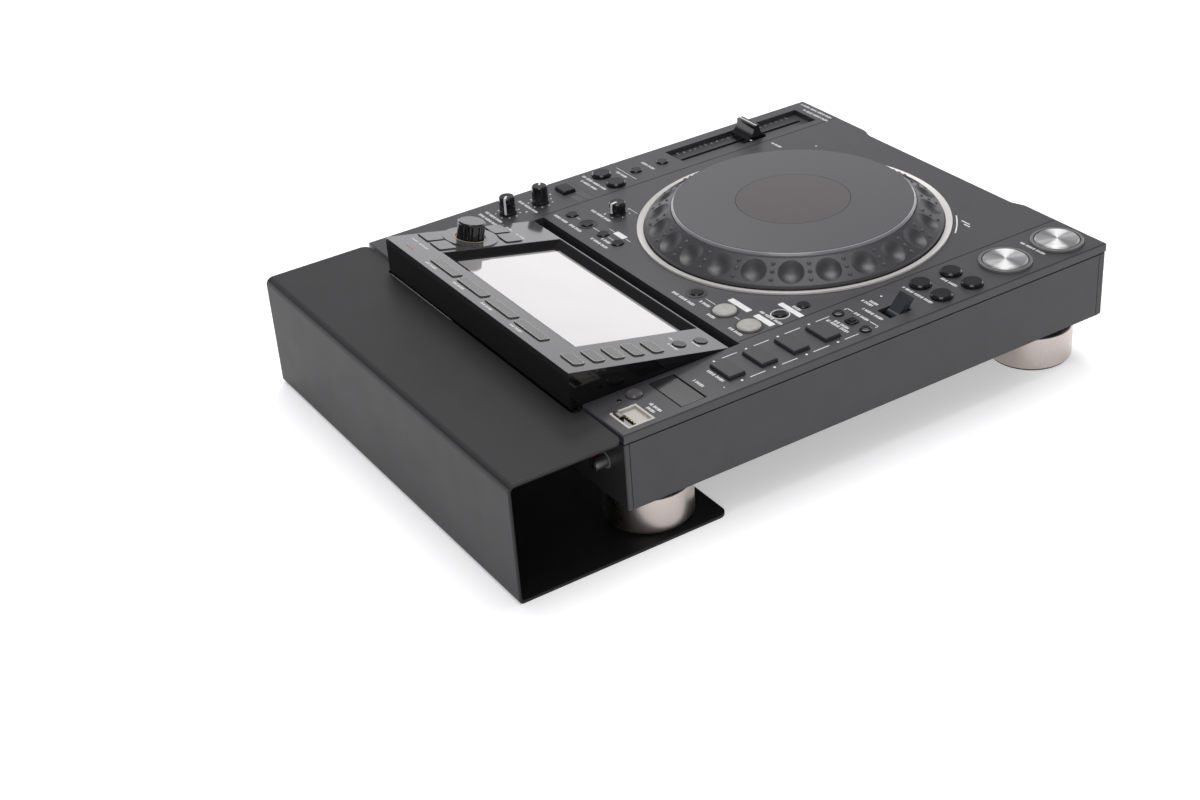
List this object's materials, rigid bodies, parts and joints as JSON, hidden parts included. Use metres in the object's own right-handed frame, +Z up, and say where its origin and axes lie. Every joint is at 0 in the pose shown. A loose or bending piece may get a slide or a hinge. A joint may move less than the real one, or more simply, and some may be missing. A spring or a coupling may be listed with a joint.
{
  "type": "dj multi player",
  "caption": "Tabletop disc and file player for DJs: large jog wheel with dimpled rim, tilted touch screen, pads, transport buttons, tempo slider, disc slot and a removable rear cable guard",
  "frame": {"origin": "On the table, in the middle in plan of the player with its rear guard on", "axes": "+X to the right of the person who plays, +Y to the rear, where the sockets and the guard are, +Z up"},
  "size_m": [0.322, 0.453, 0.1088],
  "materials": {
    "panel": "satin",
    "cover": "satin",
    "black": "matte",
    "gloss_black": "gloss",
    "chassis": "satin",
    "guard": "fine texture powder coat",
    "foot_metal": "satin",
    "foot_rubber": "matte",
    "jog_side": "satin",
    "jog_face": "brushed look under clear lacquer",
    "bright": "polished",
    "turned_metal": "turned",
    "cream_key": "translucent satin",
    "screen_face": "gloss",
    "screen_glass": "gloss",
    "board": "satin",
    "drive_steel": "satin",
    "lever": "satin",
    "port": "satin",
    "ring": "translucent"
  },
  "bodies": {
    "player": {"top_panel": "panel", "front_panel": "cover", "rear_panel": "cover", "side_covers": "cover", "bottom_chassis": "chassis", "foot_sleeves": "foot_metal", "foot_pads": "foot_rubber", "jog_post": "black", "jog_trim_ring": "bright", "button_rings": "ring", "usb_port": "port", "fader_unit": "black", "screen_bezel": "screen_face", "touch_screen": "screen_glass", "screen_housing": "gloss_black", "key_board": "board", "main_board": "board", "disc_drive": "drive_steel", "power_supply": "drive_steel", "screws": "drive_steel", "rear_jacks": "black"},
    "play_button": {"play_button": "turned_metal"},
    "cue_button": {"cue_button": "turned_metal"},
    "search_back_key": {"search_back_key": "black"},
    "search_forward_key": {"search_forward_key": "black"},
    "track_back_key": {"track_back_key": "black"},
    "track_forward_key": {"track_forward_key": "black"},
    "usb_stop_key": {"usb_stop_key": "black"},
    "loop_in_key": {"loop_in_key": "cream_key"},
    "loop_out_key": {"loop_out_key": "cream_key"},
    "reloop_key": {"reloop_key": "black"},
    "quantize_key": {"quantize_key": "black"},
    "slip_key": {"slip_key": "black"},
    "sync_master_key": {"sync_master_key": "black"},
    "sync_key": {"sync_key": "black"},
    "tempo_range_key": {"tempo_range_key": "black"},
    "master_tempo_key": {"master_tempo_key": "black"},
    "memory_keys": {"memory_keys": "black"},
    "bank_keys": {"bank_keys": "black"},
    "jog_mode_key": {"jog_mode_key": "black"},
    "hot_cue_pad_a": {"hot_cue_pad_a": "black"},
    "hot_cue_pad_b": {"hot_cue_pad_b": "black"},
    "hot_cue_pad_c": {"hot_cue_pad_c": "black"},
    "hot_cue_pad_d": {"hot_cue_pad_d": "black"},
    "browse_keys": {"browse_keys": "cream_key"},
    "source_keys": {"source_keys": "cream_key"},
    "selector_keys": {"selector_keys": "screen_face"},
    "side_keys": {"side_keys": "gloss_black"},
    "eject_button": {"eject_button": "black"},
    "jog_rim": {"jog_rim": "jog_side"},
    "jog_plate": {"jog_plate": "jog_face"},
    "selector_knob": {"selector_knob": "black"},
    "release_knob": {"release_knob": "black"},
    "touch_brake_knob": {"touch_brake_knob": "black"},
    "jog_adjust_knob": {"jog_adjust_knob": "black"},
    "direction_lever": {"direction_lever": "lever"},
    "sd_door": {"sd_door": "gloss_black"},
    "tempo_slider": {"tempo_slider": "black"},
    "power_switch": {"power_switch": "black"},
    "rear_guard": {"rear_guard": "guard"}
  },
  "joints": [
    {"name": "play_button_press", "type": "slide", "parent": "player", "child": "play_button", "axis": [0, 0, -1], "range_m": [0, 0.001], "stiffness_N_per_m": 300, "springref_m": -0.0005},
    {"name": "cue_button_press", "type": "slide", "parent": "player", "child": "cue_button", "axis": [0, 0, -1], "range_m": [0, 0.001], "stiffness_N_per_m": 300, "springref_m": -0.0005},
    {"name": "search_back_key_press", "type": "slide", "parent": "player", "child": "search_back_key", "axis": [0, 0, -1], "range_m": [0, 0.001], "stiffness_N_per_m": 300, "springref_m": -0.0005},
    {"name": "search_forward_key_press", "type": "slide", "parent": "player", "child": "search_forward_key", "axis": [0, 0, -1], "range_m": [0, 0.001], "stiffness_N_per_m": 300, "springref_m": -0.0005},
    {"name": "track_back_key_press", "type": "slide", "parent": "player", "child": "track_back_key", "axis": [0, 0, -1], "range_m": [0, 0.001], "stiffness_N_per_m": 300, "springref_m": -0.0005},
    {"name": "track_forward_key_press", "type": "slide", "parent": "player", "child": "track_forward_key", "axis": [0, 0, -1], "range_m": [0, 0.001], "stiffness_N_per_m": 300, "springref_m": -0.0005},
    {"name": "usb_stop_key_press", "type": "slide", "parent": "player", "child": "usb_stop_key", "axis": [0, 0, -1], "range_m": [0, 0.001], "stiffness_N_per_m": 300, "springref_m": -0.0005},
    {"name": "loop_in_key_press", "type": "slide", "parent": "player", "child": "loop_in_key", "axis": [0, 0, -1], "range_m": [0, 0.001], "stiffness_N_per_m": 300, "springref_m": -0.0005},
    {"name": "loop_out_key_press", "type": "slide", "parent": "player", "child": "loop_out_key", "axis": [0, 0, -1], "range_m": [0, 0.001], "stiffness_N_per_m": 300, "springref_m": -0.0005},
    {"name": "reloop_key_press", "type": "slide", "parent": "player", "child": "reloop_key", "axis": [0, 0, -1], "range_m": [0, 0.001], "stiffness_N_per_m": 300, "springref_m": -0.0005},
    {"name": "quantize_key_press", "type": "slide", "parent": "player", "child": "quantize_key", "axis": [0, 0, -1], "range_m": [0, 0.001], "stiffness_N_per_m": 300, "springref_m": -0.0005},
    {"name": "slip_key_press", "type": "slide", "parent": "player", "child": "slip_key", "axis": [0, 0, -1], "range_m": [0, 0.001], "stiffness_N_per_m": 300, "springref_m": -0.0005},
    {"name": "sync_master_key_press", "type": "slide", "parent": "player", "child": "sync_master_key", "axis": [0, 0, -1], "range_m": [0, 0.001], "stiffness_N_per_m": 300, "springref_m": -0.0005},
    {"name": "sync_key_press", "type": "slide", "parent": "player", "child": "sync_key", "axis": [0, 0, -1], "range_m": [0, 0.001], "stiffness_N_per_m": 300, "springref_m": -0.0005},
    {"name": "tempo_range_key_press", "type": "slide", "parent": "player", "child": "tempo_range_key", "axis": [0, 0, -1], "range_m": [0, 0.001], "stiffness_N_per_m": 300, "springref_m": -0.0005},
    {"name": "master_tempo_key_press", "type": "slide", "parent": "player", "child": "master_tempo_key", "axis": [0, 0, -1], "range_m": [0, 0.001], "stiffness_N_per_m": 300, "springref_m": -0.0005},
    {"name": "memory_keys_press", "type": "slide", "parent": "player", "child": "memory_keys", "axis": [0, 0, -1], "range_m": [0, 0.001], "stiffness_N_per_m": 300, "springref_m": -0.0005},
    {"name": "bank_keys_press", "type": "slide", "parent": "player", "child": "bank_keys", "axis": [0, 0, -1], "range_m": [0, 0.001], "stiffness_N_per_m": 300, "springref_m": -0.0005},
    {"name": "jog_mode_key_press", "type": "slide", "parent": "player", "child": "jog_mode_key", "axis": [0, 0, -1], "range_m": [0, 0.001], "stiffness_N_per_m": 300, "springref_m": -0.0005},
    {"name": "hot_cue_pad_a_press", "type": "slide", "parent": "player", "child": "hot_cue_pad_a", "axis": [0, 0, -1], "range_m": [0, 0.001], "stiffness_N_per_m": 300, "springref_m": -0.0005},
    {"name": "hot_cue_pad_b_press", "type": "slide", "parent": "player", "child": "hot_cue_pad_b", "axis": [0, 0, -1], "range_m": [0, 0.001], "stiffness_N_per_m": 300, "springref_m": -0.0005},
    {"name": "hot_cue_pad_c_press", "type": "slide", "parent": "player", "child": "hot_cue_pad_c", "axis": [0, 0, -1], "range_m": [0, 0.001], "stiffness_N_per_m": 300, "springref_m": -0.0005},
    {"name": "hot_cue_pad_d_press", "type": "slide", "parent": "player", "child": "hot_cue_pad_d", "axis": [0, 0, -1], "range_m": [0, 0.001], "stiffness_N_per_m": 300, "springref_m": -0.0005},
    {"name": "browse_keys_press", "type": "slide", "parent": "player", "child": "browse_keys", "axis": [0, 0.2062, -0.9785], "range_m": [0, 0.0006], "stiffness_N_per_m": 300, "springref_m": -0.0005},
    {"name": "source_keys_press", "type": "slide", "parent": "player", "child": "source_keys", "axis": [0, 0.2062, -0.9785], "range_m": [0, 0.0006], "stiffness_N_per_m": 300, "springref_m": -0.0005},
    {"name": "selector_keys_press", "type": "slide", "parent": "player", "child": "selector_keys", "axis": [0, 0.2062, -0.9785], "range_m": [0, 0.0006], "stiffness_N_per_m": 300, "springref_m": -0.0005},
    {"name": "side_keys_press", "type": "slide", "parent": "player", "child": "side_keys", "axis": [0, 0.2062, -0.9785], "range_m": [0, 0.0006], "stiffness_N_per_m": 300, "springref_m": -0.0005},
    {"name": "eject_button_press", "type": "slide", "parent": "player", "child": "eject_button", "axis": [0, 1, 0], "range_m": [0, 0.0008], "stiffness_N_per_m": 300, "springref_m": -0.0005},
    {"name": "jog_turn", "type": "hinge", "parent": "player", "child": "jog_rim", "pos_m": [-0.0025, -0.09235, 0.0878], "axis": [0, 0, 1], "continuous": true},
    {"name": "jog_plate_press", "type": "slide", "parent": "jog_rim", "child": "jog_plate", "axis": [0, 0, -1], "range_m": [0, 0.0003], "stiffness_N_per_m": 4000, "springref_m": -0.0005},
    {"name": "selector_turn", "type": "hinge", "parent": "player", "child": "selector_knob", "pos_m": [0.0973, 0.10246, 0.09517], "axis": [0, -0.2062, 0.9785], "continuous": true},
    {"name": "release_knob_turn", "type": "hinge", "parent": "player", "child": "release_knob", "pos_m": [0.1373, 0.05105, 0.0828], "axis": [0, 0, 1], "range_deg": [-150, 150]},
    {"name": "touch_brake_knob_turn", "type": "hinge", "parent": "player", "child": "touch_brake_knob", "pos_m": [0.1373, 0.02435, 0.0828], "axis": [0, 0, 1], "range_deg": [-150, 150]},
    {"name": "jog_adjust_knob_turn", "type": "hinge", "parent": "player", "child": "jog_adjust_knob", "pos_m": [0.0871, -0.00825, 0.0828], "axis": [0, 0, 1], "range_deg": [-150, 150]},
    {"name": "direction_rock", "type": "hinge", "parent": "player", "child": "direction_lever", "pos_m": [-0.1428, -0.06315, 0.0786], "axis": [-1, 0, 0], "range_deg": [0, 80]},
    {"name": "sd_door_lift", "type": "hinge", "parent": "player", "child": "sd_door", "pos_m": [-0.1375, 0.1039, 0.08195], "axis": [-1, 0, 0], "range_deg": [0, 90]},
    {"name": "tempo_slide", "type": "slide", "parent": "player", "child": "tempo_slider", "axis": [0, 1, 0], "range_m": [-0.0435, 0.0565]},
    {"name": "power_rock", "type": "hinge", "parent": "player", "child": "power_switch", "pos_m": [0.078, 0.1449, 0.056], "axis": [1, 0, 0], "range_deg": [0, 16]},
    {"name": "guard_pull", "type": "slide", "parent": "player", "child": "rear_guard", "axis": [0, 1, 0], "range_m": [0, 0.14]}
  ]
}
